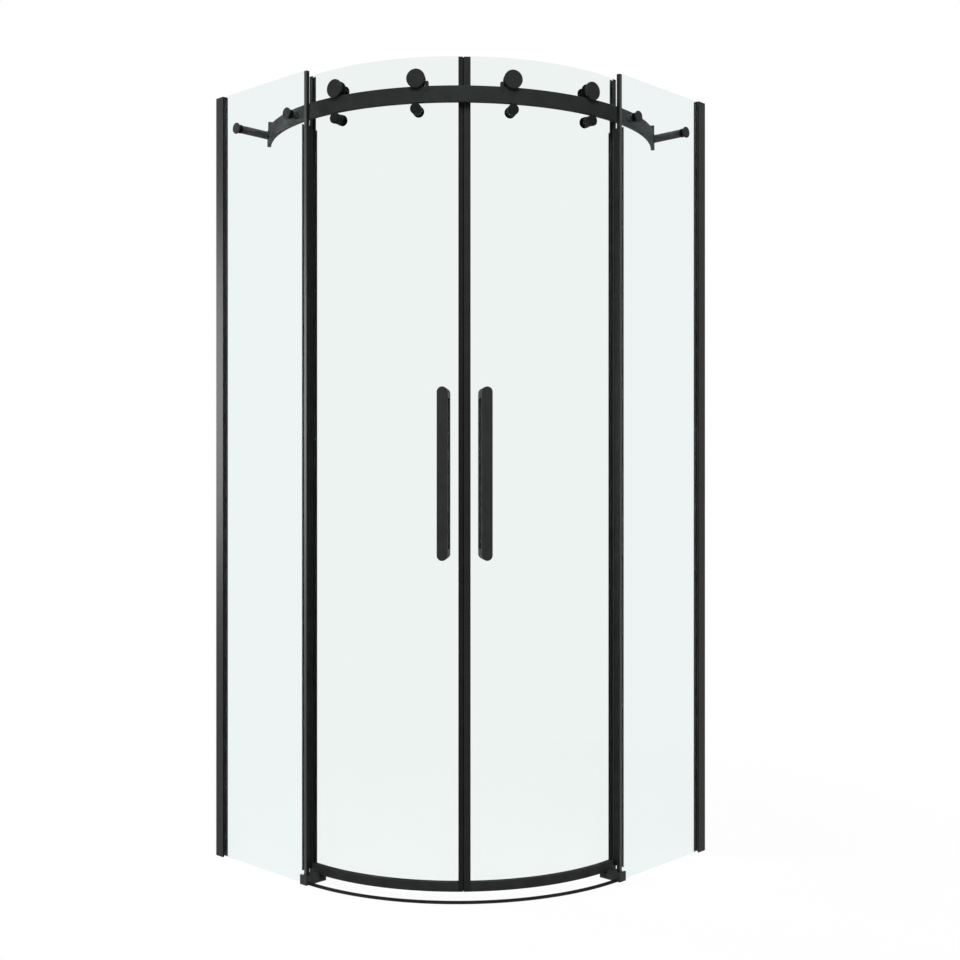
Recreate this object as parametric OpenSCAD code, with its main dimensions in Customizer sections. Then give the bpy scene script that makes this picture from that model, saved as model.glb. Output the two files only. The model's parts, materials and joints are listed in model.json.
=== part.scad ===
// Corner shower enclosure: two fixed glass sides and two curved glass doors that roll on a curved rail.
// The walls are at the model's +X and +Y faces, the rounded front faces -X and -Y, and the floor is Z = 0.
// Angles along the front run from the diagonal of the corner, and grow towards the wall of each side.

/* [Enclosure] */
// Distance from each wall to the outer face of its wall channel
side = 897; // [880:1:960]
// Height of the glass above the floor
height = 1950; // [1850:1:2050]
// Radius of the rounded front, at the outer face of the wall channels
corner_r = 540; // [530:1:550]
// Thickness of all glass
glass_t = 6; // [5:0.5:8]

/* [Wall channels] */
// Width of a wall channel along the glass
channel_w = 30; // [26:1:36]
// Depth of a wall channel across the glass
channel_d = 15; // [15:0.5:20]
// Wall thickness of the channel's two flanges
flange_t = 1.5; // [1.2:0.1:2]
// Thickness of the channel's web, on the wall
web_t = 2; // [1.5:0.1:3]
// Height of the lips at the flanges' inner ends, which hold the gasket
channel_lip_h = 1; // [0.5:0.1:1.5]
// Length of these lips
channel_lip_l = 1.5; // [1:0.1:3]
// Height of the cap on top of a channel
channel_cap_h = 4; // [3:0.5:6]
// Distance from the wall to the edge of the fixed glass
glass_from_wall = 12; // [11:0.5:16]
// Distance from the channel's outer face to the outer face of the fixed glass
glass_setback = 4.5; // [4:0.1:5]
// Thickness of the gasket's base, behind the edge of the glass
gasket_base = 3; // [2:0.5:4]
// Diameter of the screw holes in the web
wall_hole_d = 5; // [4:0.1:7]
// Height of the lowest wall screw
wall_hole_low = 150; // [100:1:200]
// Distance between one wall screw and the next
wall_hole_step = 550; // [500:1:560]

/* [Jambs and feet] */
// Width of the profile on the free edge of the fixed glass
jamb_w = 10; // [9:0.5:14]
// Wall thickness of that profile beside the glass
jamb_side_t = 1.2; // [1:0.1:1.6]
// Thickness of its web, in front of the edge of the glass
jamb_web_t = 2; // [1.5:0.1:3]
// Distance that the profile's inner end lies before the centre of the curve
jamb_back = 4; // [2:0.1:6]
// Height of the cap on top of the profile
jamb_cap_h = 2; // [1.5:0.1:3]
// Distance from the top of the glass to the top of the jamb caps and centre stiles
stile_drop = 2; // [1:0.5:4]
// Width of the foot block along the front
foot_w = 25; // [22:1:30]
// Length of the foot block past the profile's outer end
foot_past = 4.5; // [2:0.1:6]
// Height of the foot block
foot_h = 22.5; // [20:0.5:30]
// Distance that the foot block stands proud of the channel's outer face
foot_proud = 1.5; // [0.5:0.1:2.5]
// Length of the metal part of the foot block
foot_metal = 39; // [38:0.5:39.5]
// Length of the whole foot block, with the plastic guide at its inner end
foot_l = 62; // [60:0.5:70]
// Thickness of the foot's plate under the guide
foot_plate_t = 4; // [3:0.5:6]
// Corner radius of the foot block
foot_corner = 1.5; // [0.5:0.1:2]
// Height of the groove's floor in the guide
groove_z = 13; // [10:0.5:15]
// Clearance at each side of the door's bottom rail in the groove
groove_gap = 0.5; // [0.3:0.1:0.8]
// Distance from the floor to the bottom edge of the fixed glass
fixed_glass_z = 2; // [1:0.5:4]

/* [Threshold] */
// Width of the threshold strip
threshold_w = 10; // [8:0.5:14]
// Height of the threshold strip's ridge
threshold_h = 6; // [4:0.5:8]
// Distance from the channel's outer face line to the strip
threshold_back = 6; // [5:0.5:8]

/* [Rail] */
// Distance from the top of the glass to the top of the rail
rail_drop = 73; // [70:1:90]
// Height of the rail
rail_h = 38; // [34:1:44]
// Thickness of the rail
rail_t = 10; // [8:0.5:12]
// Gap between the door glass and the rail
rail_gap = 9; // [8.5:0.1:10]
// Length of rail past the centre of each end stop
rail_tail = 55.7; // [50:0.1:60]
// Angle of the short rail holders
short_holder_a = 52.3; // [51:0.1:56]
// Distance from the wall to the axis of the long rail holders
long_holder_u = 88.5; // [80:0.5:100]
// Length of rail past the axis of each long rail holder
holder_tail = 44.1; // [30:0.1:45]
// Diameter of the rail holders
holder_d = 20; // [18:0.5:24]
// Diameter of the holders' outer caps
holder_cap_d = 28; // [26:0.5:34]
// Thickness of the holders' outer caps
holder_cap_t = 6.5; // [5.5:0.1:8]
// Diameter of the gaskets at the holders
holder_gasket_d = 26; // [22:0.5:28]
// Thickness of each holder gasket
holder_gasket_t = 1; // [0.8:0.1:1.5]
// Diameter of the stud through the fixed glass
holder_stud_d = 8; // [6:0.5:9]
// Diameter of the holes in the fixed glass
holder_hole_d = 12; // [11:0.5:14]
// Depth of the stud in the holder
holder_stud_depth = 6; // [5:0.1:6.5]
// Shank diameter of the rail screws
rail_screw_d = 5; // [4:0.1:6]
// Clearance round the shank of a rail screw
rail_screw_gap = 0.1; // [0.05:0.05:0.3]
// Head diameter of the rail screws
rail_head_d = 8.5; // [8:0.1:9.5]
// Head height of the rail screws
rail_head_h = 3; // [2.5:0.1:3.5]
// Metal left under the head of a rail screw
rail_seat = 5; // [4.5:0.1:5.5]
// Gap round the head of a rail screw
rail_head_gap = 0.5; // [0.2:0.1:1]
// Width across flats of the key recess in a rail screw
rail_key = 4; // [3:0.5:5]
// Depth of the key recess in a rail screw
rail_key_depth = 2; // [1:0.1:2.5]

/* [Rail stops] */
// Angle of the inner stops' inner face
stop_in_a = 9.4; // [9:0.01:9.4]
// Length of a stop along the rail
stop_l = 6.8; // [6:0.1:7]
// Height of the inner stops above the rail
stop_in_h = 11; // [9:0.5:13]
// Height of the end stops above the rail
stop_end_h = 13; // [9:0.5:13]
// Thickness of a stop's two legs
stop_leg_t = 1.5; // [1:0.1:1.9]
// Length of a stop's legs below the top of the rail
stop_leg_h = 12; // [8:0.5:16]
// Diameter of the stops' grub screws
grub_d = 4; // [3:0.1:5]
// Length of the grub screws
grub_l = 7; // [5:0.5:8]
// Width across flats of the key recess in a grub screw
grub_key = 2; // [1.5:0.1:2.5]
// Depth of the key recess in a grub screw
grub_key_depth = 2.5; // [1.5:0.1:3]

/* [Doors] */
// Distance from the channel's outer face line to the outer face of the door glass
door_back = 43; // [42.8:0.1:43.4]
// Distance from the top of the glass to the top of the jamb stiles
jamb_stile_drop = 2; // [1:0.5:8]
// Height of the doors' lower edge above the floor
door_z = 17.3; // [16:0.1:18.5]
// Height of the bottom rail
bottom_rail_h = 22.7; // [20:0.1:30]
// Metal under the edge of the door glass
bottom_web_t = 3.7; // [3:0.1:5]
// Metal beside the door glass in the stiles and the bottom rail
stile_wall = 3; // [2.5:0.1:3.5]
// Distance from the diagonal to the far edge of a centre stile
stile_far = 14; // [13:0.1:17]
// Distance from the diagonal to the near edge of the right centre stile, negative past the diagonal
seam_right = -1.9; // [-1.9:0.1:-1.5]
// Distance from the diagonal to the near edge of the left centre stile
seam_left = 3.4; // [3.4:0.1:3.8]
// Distance from a centre stile's near edge to the edge of the door glass
stile_web = 5.5; // [5:0.1:6]
// Width of the magnet strip
magnet_w = 8; // [6:0.1:9]
// Depth of the magnet strip in the stile
magnet_depth = 3.5; // [2.5:0.1:4]
// Distance that the magnet strip stands out of the stile
magnet_proud = 0.6; // [0.3:0.05:0.6]
// Distance from each end of a stile to the end of its magnet strip
magnet_end = 1.5; // [1:0.1:4]
// Angle of the jamb stile's near edge
jamb_stile_a = 47.2; // [47.1:0.05:47.8]
// Width of the jamb stile, along the curve
jamb_stile_w = 10.35; // [9:0.05:12]
// Thickness of the jamb stile's end, past the edge of the glass
jamb_stile_end_t = 1.5; // [1:0.1:3]

/* [Wing seal] */
// Wall thickness of the seal
seal_t = 1.5; // [1:0.1:1.8]
// Thickness of the fin that reaches towards the fixed glass
fin_t = 2.1; // [1.5:0.1:2.5]
// Gap between the fin and the fixed glass
fin_gap = 0.9; // [0.5:0.1:2]
// Length of the seal's inner lip beside the jamb stile
seal_lip = 5.2; // [3:0.1:6]
// Distance by which the seal's lower end lies below the top of the bottom rail
seal_low = 12; // [0:0.5:15]
// Distance from the lower edge of the rail to the fin's upper end
seal_high = 13; // [10:0.5:40]
// Distance from the fin's upper end to the upper end of the inner lip
seal_lip_drop = 8; // [0:0.5:20]

/* [Rollers] */
// Angle of each door's inner roller
roller_in_a = 12.5; // [12.5:0.1:13]
// Angle of each door's outer roller
roller_out_a = 36; // [34:0.1:36]
// Rolling radius of the wheels
wheel_r = 17; // [16:0.1:18]
// Gap between the wheel's tread and the top of the rail
tread_gap = 0.3; // [0.2:0.05:0.5]
// Height of the wheel's flanges
flange_h = 3; // [2.5:0.1:3.5]
// Thickness of the wheel's inner flange
flange_in_t = 3; // [2:0.1:3]
// Thickness of the wheel's outer flange
flange_out_t = 1.8; // [1.5:0.1:2.4]
// Gap between the rail and the inner flange
flange_in_gap = 0.5; // [0.4:0.05:0.6]
// Gap between the rail and the outer flange
flange_out_gap = 0.4; // [0.3:0.05:0.6]
// Radius of the wheel's hub
hub_r = 9; // [8:0.1:11]
// Gap at each end of the wheel
hub_gap = 0.2; // [0.2:0.05:0.4]
// Diameter of the roller axle inside the bearing
axle_d = 8; // [7:0.1:9]
// Radial clearance between the axle and the bearing
axle_fit = 0.05; // [0.02:0.01:0.1]
// Outer diameter of the ball bearing
bearing_d = 22; // [20:0.1:24]
// Width of the ball bearing
bearing_w = 7; // [6:0.1:7.5]
// Width of a bearing's two rings
bearing_ring_t = 2; // [1.5:0.1:2.5]
// Depth of the bearing's shields between the rings
bearing_recess = 0.6; // [0.3:0.1:1]
// Width of the shoulder that the bearing's outer ring rests on
bearing_seat = 2.5; // [2:0.1:3]
// Depth of the relief behind the bearing's inner ring
bearing_relief = 1; // [0.5:0.1:1.5]
// Gap between the wheel's hub and the axle
hub_bore_gap = 1; // [0.5:0.1:1.2]
// Diameter of the axle's flange
axle_flange_d = 24; // [20:0.5:26]
// Thickness of the axle's flange
axle_flange_t = 1; // [0.8:0.1:1.2]
// Diameter of the threaded end of the axle
axle_thread_d = 10; // [8:0.1:12]
// Diameter of the roller's front cap
roller_cap_d = 44; // [42:0.5:46]
// Thickness of the roller's front cap
roller_cap_t = 5; // [4:0.1:6]
// Gap between the wheel and the front cap
roller_cap_gap = 0.5; // [0.3:0.05:0.8]
// Diameter of the roller's inner nut
inner_nut_d = 28; // [24:0.5:32]
// Thickness of the roller's inner nut
inner_nut_t = 8; // [6:0.1:10]
// Metal left at the closed faces of the front cap and the inner nut
blind_face_t = 2; // [1.5:0.1:3]
// Rounding of the discs' outer edges
disc_edge = 1.5; // [0.5:0.1:2]
// Diameter of the roller holes in the door glass
roller_hole_d = 16; // [14:0.5:18]
// Diameter of the gaskets at the rollers and guards
grommet_d = 26; // [24:0.5:28]
// Thickness of the gaskets on the outside of the door glass
grommet_out_t = 1.2; // [1:0.1:1.4]
// Thickness of the gaskets on the inside of the door glass
grommet_in_t = 1.7; // [1.2:0.1:2]

/* [Anti-lift guards] */
// Distance from the lower edge of the rail to a guard's centre
guard_drop = 14.5; // [14:0.1:18]
// Radius of a guard's barrel under the rail
guard_r = 12; // [10:0.1:12]
// Diameter of a guard's front cap
guard_cap_d = 26; // [24:0.5:28]
// Thickness of a guard's front cap
guard_cap_t = 6; // [5:0.1:6.5]
// Distance that the barrel reaches past the rail
guard_past = 1.5; // [1:0.1:2]
// Diameter of a guard's inner disc
guard_nut_d = 23; // [20:0.5:28]
// Thickness of a guard's inner disc
guard_nut_t = 3.5; // [3:0.1:8]
// Diameter of a guard's stud in the glass
guard_stud_d = 10; // [8:0.1:11]
// Diameter of the guard holes in the door glass
guard_hole_d = 14; // [12:0.5:16]

/* [Handles] */
// Angle of each handle's centre line
handle_a = 5.62; // [5:0.01:5.7]
// Width of a handle
handle_w = 25; // [22:0.5:26]
// Length of a handle
handle_l = 400; // [300:1:600]
// Height of a handle's lower end
handle_z = 784; // [700:1:900]
// Thickness of a handle's bar
handle_t = 12; // [10:0.5:12]
// Gap between the outer handle's bar and the glass
handle_out_gap = 22; // [20:0.5:22]
// Gap between the inner handle's bar and the glass
handle_in_gap = 22; // [20:0.5:30]
// Length of each of the handle's two ends
handle_post = 25; // [22:0.5:40]
// Diameter of the handle's gaskets
handle_gasket_d = 22; // [18:0.5:24]
// Thickness of the handle's gaskets
handle_gasket_t = 1.2; // [1:0.1:2]
// Diameter of the handle's studs
handle_stud_d = 6; // [5:0.5:8]
// Depth of the studs in each handle
handle_stud_depth = 26; // [20:0.5:28]
// Diameter of the handle's holes in the door glass
handle_hole_d = 10; // [9:0.5:12]

/* [Hidden] */
// Smoothness of the large arcs, of the discs and of the rounded edges
arc_fn = 240;
disc_fn = 96;
edge_fn = 32;
// Length and angle by which a cut runs past the face that it opens
past = 1;
past_a = 1;

black_metal = "#3c3c3e";
light_metal = "#5a5a5c";
clear_glass = [0.86, 0.94, 0.92, 0.35];
black_rubber = "#1d1d1e";
black_nylon = "#262627";
bearing_steel = "#a9abae";

// The centre of the front's curve, from each wall
centre_in = side - corner_r;
// Distance by which the holders' caps stand out of the channel's outer face
proud = holder_cap_t + holder_gasket_t - glass_setback;
half = (side + proud) / 2;

// Faces of the fixed glass across the panel, from the channel's outer face
glass_v1 = glass_setback;
glass_v2 = glass_setback + glass_t;
channel_top = height - channel_cap_h;
jamb_u1 = centre_in - jamb_back;
jamb_u2 = jamb_u1 + jamb_w;
glass_u2 = jamb_u2 - jamb_web_t;
jamb_top = height - stile_drop - jamb_cap_h;
foot_u2 = jamb_u2 + foot_past;
foot_u1 = foot_u2 - foot_w;
foot_v1 = -foot_proud;
foot_v2 = foot_v1 + foot_metal;
foot_v3 = foot_v1 + foot_l;

// Radii of the curved pieces, from the centre of the front's curve
door_out = corner_r - door_back;
door_in = door_out - glass_t;
stile_out = door_out + stile_wall;
stile_in = door_in - stile_wall;
rail_in = door_out + rail_gap;
rail_out = rail_in + rail_t;
rail_mid = (rail_in + rail_out) / 2;
threshold_out = corner_r - threshold_back;
threshold_in = threshold_out - threshold_w;
groove_out = stile_out + groove_gap;
groove_in = stile_in - groove_gap;

rail_top = height - rail_drop;
rail_z = rail_top - rail_h;
holder_z = rail_top - rail_h / 2;
rail_hole_d = rail_screw_d + 2 * rail_screw_gap;
rail_head_hole_d = rail_head_d + 2 * rail_head_gap;
rail_screw_end = rail_seat + rail_head_h;

// Wheel and roller places along the radius
tread_r = wheel_r - tread_gap;
wheel_flange_r = wheel_r + flange_h;
wheel_z = rail_top + wheel_r;
tread_in = rail_in - flange_in_gap;
tread_out = rail_out + flange_out_gap;
wheel_in = tread_in - flange_in_t;
wheel_out = tread_out + flange_out_t;
axle_flange_in = door_out + grommet_out_t;
hub_in = axle_flange_in + axle_flange_t + hub_gap;
roller_cap_in = wheel_out + roller_cap_gap;
roller_cap_out = roller_cap_in + roller_cap_t;
bearing_out = tread_out + flange_out_t / 2;
bearing_in = bearing_out - bearing_w;
inner_nut_out = door_in - grommet_in_t;
guard_z = rail_z - guard_drop;
guard_cap_in = rail_out + guard_past;

// The wall sets the rail's end and so the end stops, which leave each door 36.3 degrees of travel
function arc_deg(length, radius) = length / radius * 180 / PI;
long_holder_a = 45 + asin((centre_in - long_holder_u) / rail_out);
rail_a = long_holder_a + arc_deg(holder_tail, rail_mid);
stop_a = arc_deg(stop_l, rail_mid);
stop_end_a = rail_a - arc_deg(rail_tail, rail_mid) - stop_a / 2;
holder_angles = [short_holder_a, long_holder_a];
// Distance of a holder from the wall, and of the rail there from the channel's outer face
function holder_u(angle) = centre_in - rail_out * sin(angle - 45);
function holder_v(angle) = corner_r - rail_out * cos(angle - 45);

// Angles of a door's pieces, at the middle of its glass
door_mid = (door_in + door_out) / 2;
stile_far_a = arc_deg(stile_far, door_mid);
jamb_stile_end_a = jamb_stile_a + arc_deg(jamb_stile_w, door_mid);
door_glass_a = jamb_stile_end_a - arc_deg(jamb_stile_end_t, door_mid);
bottom_rail_top = door_z + bottom_rail_h;
door_glass_z = door_z + bottom_web_t;
roller_angles = [roller_in_a, roller_out_a];
handle_mid = handle_z + handle_l / 2;
handle_stud_z = [handle_z + handle_post / 2, handle_z + handle_l - handle_post / 2];
handle_out_in = door_out + handle_out_gap;
handle_in_out = door_in - handle_in_gap;

// Frames of reference

// The corner of the room is the origin here, with the enclosure on its negative side
module corner_frame() {
    translate([half, half, 0])
        children();
}

// X runs from the wall along the right panel, and Y from the channel's outer face inwards
module right_panel() {
    corner_frame()
        translate([0, -side, 0])
            mirror([1, 0, 0])
                children();
}

module left_panel() {
    corner_frame()
        mirror([1, -1, 0])
            translate([0, -side, 0])
                mirror([1, 0, 0])
                    children();
}

module both_panels() {
    right_panel() children();
    left_panel() children();
}

// X runs from the centre of the curve out along the diagonal, and angles grow towards the right panel
module right_front() {
    corner_frame()
        translate([-centre_in, -centre_in, 0])
            rotate([0, 0, -135])
                children();
}

module left_front() {
    right_front()
        mirror([0, 1, 0])
            children();
}

module both_fronts() {
    right_front() children();
    left_front() children();
}

// Z runs outwards along the radius at an angle and a height, and X runs down
module radial(angle, z) {
    rotate([0, 0, angle])
        translate([0, 0, z])
            rotate([0, 90, 0])
                children();
}

// Z runs inwards across a panel, at a distance from the wall and a height
module across(u, z) {
    translate([u, 0, z])
        rotate([-90, 0, 0])
            children();
}

// Shared shapes

// Part of a ring about the centre of the curve
module sector(r1, r2, a1, a2, z1, z2) {
    rotate([0, 0, a1])
        rotate_extrude(angle = a2 - a1, $fn = arc_fn)
            translate([r1, z1])
                square([r2 - r1, z2 - z1]);
}

// A disc between two places on its own axis
module disc(from, to, d) {
    translate([0, 0, from])
        cylinder(d = d, h = to - from, $fn = disc_fn);
}

// A disc whose outer rim is rounded at its far face
module rounded_disc(from, to, d, edge) {
    h = to - from;
    translate([0, 0, from])
        rotate_extrude($fn = disc_fn)
            union() {
                square([d / 2, h - edge]);
                square([d / 2 - edge, h]);
                translate([d / 2 - edge, h - edge])
                    intersection() {
                        circle(edge, $fn = edge_fn);
                        square(edge);
                    }
            }
}

// A disc whose rim is rounded at its near face
module rounded_disc_in(from, to, d, edge) {
    translate([0, 0, to])
        mirror([0, 0, 1])
            rounded_disc(0, to - from, d, edge);
}

// A recess for a hexagonal key, at the far face of a screw
module key_recess(at, across_flats, depth) {
    translate([0, 0, at - depth])
        cylinder(d = across_flats / cos(30), h = depth + past, $fn = 6);
}

// A rectangle from the origin with round corners
module rounded_rect(w, d, r) {
    union() {
        translate([r, 0])
            square([w - 2 * r, d]);
        translate([0, r])
            square([w, d - 2 * r]);
        for (x = [r, w - r])
            for (y = [r, d - r])
                translate([x, y])
                    circle(r, $fn = edge_fn);
    }
}

// Fixed frame

module wall_channel() {
    lip_v = flange_t + channel_lip_h;
    difference() {
        linear_extrude(channel_top)
            difference() {
                square([channel_w, channel_d]);
                translate([web_t, flange_t])
                    square([channel_w - web_t - channel_lip_l, channel_d - 2 * flange_t]);
                translate([web_t, lip_v])
                    square([channel_w, channel_d - 2 * lip_v]);
            }
        for (i = [0:3])
            translate([-past, channel_d / 2, wall_hole_low + i * wall_hole_step])
                rotate([0, 90, 0])
                    cylinder(d = wall_hole_d, h = web_t + 2 * past, $fn = disc_fn);
    }
}

module wall_channel_right() {
    color(black_metal)
        right_panel()
            wall_channel();
}

module wall_channel_left() {
    color(black_metal)
        left_panel()
            wall_channel();
}

// The cap lies on the channel, with a plug that reaches down behind the gasket
module wall_channel_caps() {
    plug_gap = 0.5;
    plug_h = 12;
    color(black_metal)
        both_panels()
            difference() {
                union() {
                    translate([0, 0, channel_top])
                        cube([channel_w, channel_d, channel_cap_h]);
                    translate([web_t + plug_gap, flange_t + plug_gap, channel_top - plug_h])
                        cube([
                            glass_from_wall - gasket_base - web_t - 2 * plug_gap,
                            channel_d - 2 * flange_t - 2 * plug_gap,
                            plug_h
                        ]);
                }
                translate([glass_from_wall, glass_v1, channel_top - past])
                    cube([channel_w, glass_t, channel_cap_h + 2 * past]);
            }
}

module channel_gaskets() {
    gap = 0.5;
    u1 = glass_from_wall - gasket_base;
    color(black_rubber)
        both_panels()
            translate([0, 0, fixed_glass_z])
                linear_extrude(channel_top - fixed_glass_z)
                    difference() {
                        translate([u1, flange_t])
                            square([channel_w - channel_lip_l - gap - u1, channel_d - 2 * flange_t]);
                        translate([glass_from_wall, glass_v1])
                            square([channel_w, glass_t]);
                    }
}

module fixed_glass() {
    difference() {
        translate([glass_from_wall, glass_v1, fixed_glass_z])
            cube([glass_u2 - glass_from_wall, glass_t, height - fixed_glass_z]);
        for (a = holder_angles)
            across(holder_u(a), holder_z)
                disc(glass_v1 - past, glass_v2 + past, holder_hole_d);
    }
}

module fixed_glass_right() {
    color(clear_glass)
        right_panel()
            fixed_glass();
}

module fixed_glass_left() {
    color(clear_glass)
        left_panel()
            fixed_glass();
}

// The U round the free edge of the fixed glass, between two heights
module jamb_shape(z1, z2) {
    translate([0, 0, z1])
        linear_extrude(z2 - z1)
            difference() {
                translate([jamb_u1, glass_v1 - jamb_side_t])
                    square([jamb_w, glass_t + 2 * jamb_side_t]);
                translate([jamb_u1 - past, glass_v1])
                    square([glass_u2 - jamb_u1 + past, glass_t]);
            }
}

module jamb_profile_right() {
    color(black_metal)
        right_panel()
            jamb_shape(foot_h, jamb_top);
}

module jamb_profile_left() {
    color(black_metal)
        left_panel()
            jamb_shape(foot_h, jamb_top);
}

module jamb_caps() {
    color(black_rubber)
        both_panels()
            jamb_shape(jamb_top, jamb_top + jamb_cap_h);
}

// The metal foot holds the end of the fixed glass, and its plate carries the guide
module foot_block() {
    difference() {
        translate([foot_u1, foot_v1, 0])
            linear_extrude(foot_h)
                rounded_rect(foot_w, foot_l, foot_corner);
        translate([foot_u1 - past, foot_v2, foot_plate_t])
            cube([foot_w + 2 * past, foot_l, foot_h]);
        translate([foot_u1 - past, glass_v1, fixed_glass_z])
            cube([glass_u2 - foot_u1 + past, glass_t, foot_h]);
    }
}

module foot_block_right() {
    color(light_metal)
        right_panel()
            foot_block();
}

module foot_block_left() {
    color(light_metal)
        left_panel()
            foot_block();
}

// The plastic guide has a curved groove for the door's bottom rail
module door_guides() {
    color(black_rubber)
        both_panels()
            difference() {
                translate([foot_u1, foot_v1, foot_plate_t])
                    linear_extrude(foot_h - foot_plate_t)
                        rounded_rect(foot_w, foot_l, foot_corner);
                translate([foot_u1 - past, foot_v1 - past, 0])
                    cube([foot_w + 2 * past, foot_metal + past, foot_h + past]);
                translate([centre_in, corner_r, groove_z])
                    difference() {
                        cylinder(r = groove_out, h = foot_h, $fn = arc_fn);
                        translate([0, 0, -past])
                            cylinder(r = groove_in, h = foot_h + 2 * past, $fn = arc_fn);
                    }
            }
}

// The strip has a raised ridge along its middle, and ends flush against the feet
module threshold_strip() {
    base_h = 3;
    ridge_w = 4;
    color(light_metal)
        difference() {
            right_front()
                rotate([0, 0, -45])
                    rotate_extrude(angle = 90, $fn = arc_fn)
                        translate([threshold_in, 0])
                            polygon([
                                [0, 0],
                                [threshold_w, 0],
                                [threshold_w, base_h / 2],
                                [(threshold_w + ridge_w) / 2, base_h],
                                [(threshold_w + ridge_w) / 2, threshold_h],
                                [(threshold_w - ridge_w) / 2, threshold_h],
                                [(threshold_w - ridge_w) / 2, base_h],
                                [0, base_h / 2]
                            ]);
            both_panels()
                translate([foot_u2 - side, -past, -past])
                    cube([side, side, threshold_h + 2 * past]);
        }
}

// Rail and its holders

module curved_rail() {
    color(black_metal)
        difference() {
            right_front()
                sector(rail_in, rail_out, -rail_a, rail_a, rail_z, rail_top);
            both_panels()
                for (a = holder_angles)
                    across(holder_u(a), holder_z) {
                        disc(holder_v(a) - holder_d, holder_v(a) + holder_d, rail_hole_d);
                        disc(holder_v(a) + rail_seat, holder_v(a) + 2 * holder_d, rail_head_hole_d);
                    }
        }
}

// A rod from the gasket on the glass to the rail, cut to the rail's curve
module rail_holder(angle) {
    v1 = glass_v2 + holder_gasket_t;
    difference() {
        across(holder_u(angle), holder_z)
            disc(v1, holder_v(angle) + holder_d, holder_d);
        translate([centre_in, corner_r, holder_z - holder_d])
            cylinder(r = rail_out, h = 2 * holder_d, $fn = arc_fn);
        across(holder_u(angle), holder_z) {
            disc(v1 - past, v1 + holder_stud_depth, holder_stud_d);
            disc(holder_v(angle) - holder_stud_depth, holder_v(angle) + holder_d, rail_hole_d);
        }
    }
}

module short_rail_holders() {
    color(black_metal)
        both_panels()
            rail_holder(short_holder_a);
}

module long_rail_holders() {
    color(black_metal)
        both_panels()
            rail_holder(long_holder_a);
}

// The cap outside the glass, with the stud that reaches into the holder
module holder_caps() {
    color(black_metal)
        both_panels()
            for (a = holder_angles)
                across(holder_u(a), holder_z) {
                    rounded_disc_in(-proud, glass_v1 - holder_gasket_t, holder_cap_d, disc_edge);
                    disc(
                        glass_v1 - holder_gasket_t,
                        glass_v2 + holder_gasket_t + holder_stud_depth,
                        holder_stud_d
                    );
                }
}

module holder_gaskets() {
    color(black_rubber)
        both_panels()
            for (a = holder_angles)
                across(holder_u(a), holder_z)
                    difference() {
                        union() {
                            disc(glass_v1 - holder_gasket_t, glass_v1, holder_gasket_d);
                            disc(glass_v1 - holder_gasket_t, glass_v2 + holder_gasket_t, holder_hole_d);
                            disc(glass_v2, glass_v2 + holder_gasket_t, holder_gasket_d);
                        }
                        disc(glass_v1 - 2 * holder_gasket_t, glass_v2 + 2 * holder_gasket_t, holder_stud_d);
                    }
}

module rail_screws() {
    color(bearing_steel)
        both_panels()
            for (a = holder_angles)
                across(holder_u(a), holder_z)
                    difference() {
                        union() {
                            disc(holder_v(a) - holder_stud_depth, holder_v(a) + rail_screw_end, rail_screw_d);
                            disc(holder_v(a) + rail_seat, holder_v(a) + rail_screw_end, rail_head_d);
                        }
                        key_recess(holder_v(a) + rail_screw_end, rail_key, rail_key_depth);
                    }
}

// A saddle over the rail from one angle to another, with a hole for its grub screw
module rail_stop(a1, h) {
    difference() {
        sector(
            rail_in - stop_leg_t, rail_out + stop_leg_t,
            a1, a1 + stop_a,
            rail_top - stop_leg_h, rail_top + h
        );
        sector(rail_in, rail_out, a1 - past_a, a1 + stop_a + past_a, rail_z, rail_top);
        rotate([0, 0, a1 + stop_a / 2])
            translate([rail_mid, 0, rail_top - past])
                cylinder(d = grub_d, h = h + 2 * past, $fn = disc_fn);
    }
}

module rail_stops() {
    color(black_metal)
        both_fronts() {
            rail_stop(stop_in_a, stop_in_h);
            rail_stop(stop_end_a, stop_end_h);
        }
}

module stop_screws() {
    color(bearing_steel)
        both_fronts()
            for (a = [stop_in_a, stop_end_a])
                rotate([0, 0, a + stop_a / 2])
                    translate([rail_mid, 0, rail_top])
                        difference() {
                            cylinder(d = grub_d, h = grub_l, $fn = disc_fn);
                            key_recess(grub_l, grub_key, grub_key_depth);
                        }
}

// Doors, drawn for the right side

module door_glass(seam) {
    edge_a = arc_deg(seam + stile_web, door_mid);
    difference() {
        sector(door_in, door_out, edge_a, door_glass_a, door_glass_z, height);
        for (a = roller_angles) {
            radial(a, wheel_z)
                disc(door_in - past, door_out + past, roller_hole_d);
            radial(a, guard_z)
                disc(door_in - past, door_out + past, guard_hole_d);
        }
        for (z = handle_stud_z)
            radial(handle_a, z)
                disc(door_in - past, door_out + past, handle_hole_d);
    }
}

// The stile takes the glass in one groove and the magnet strip in the other
module centre_stile(seam) {
    near_a = arc_deg(seam, door_mid);
    edge_a = arc_deg(seam + stile_web, door_mid);
    magnet_a = arc_deg(seam + magnet_depth, door_mid);
    top = height - stile_drop;
    difference() {
        sector(stile_in, stile_out, near_a, stile_far_a, door_z, top);
        sector(door_in, door_out, edge_a, stile_far_a + past_a, door_glass_z, top + past);
        sector(
            door_mid - magnet_w / 2, door_mid + magnet_w / 2,
            near_a - past_a, magnet_a,
            door_z + magnet_end, top - magnet_end
        );
    }
}

module magnet_strip(seam) {
    sector(
        door_mid - magnet_w / 2, door_mid + magnet_w / 2,
        arc_deg(seam - magnet_proud, door_mid), arc_deg(seam + magnet_depth, door_mid),
        door_z + magnet_end, height - stile_drop - magnet_end
    );
}

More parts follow.
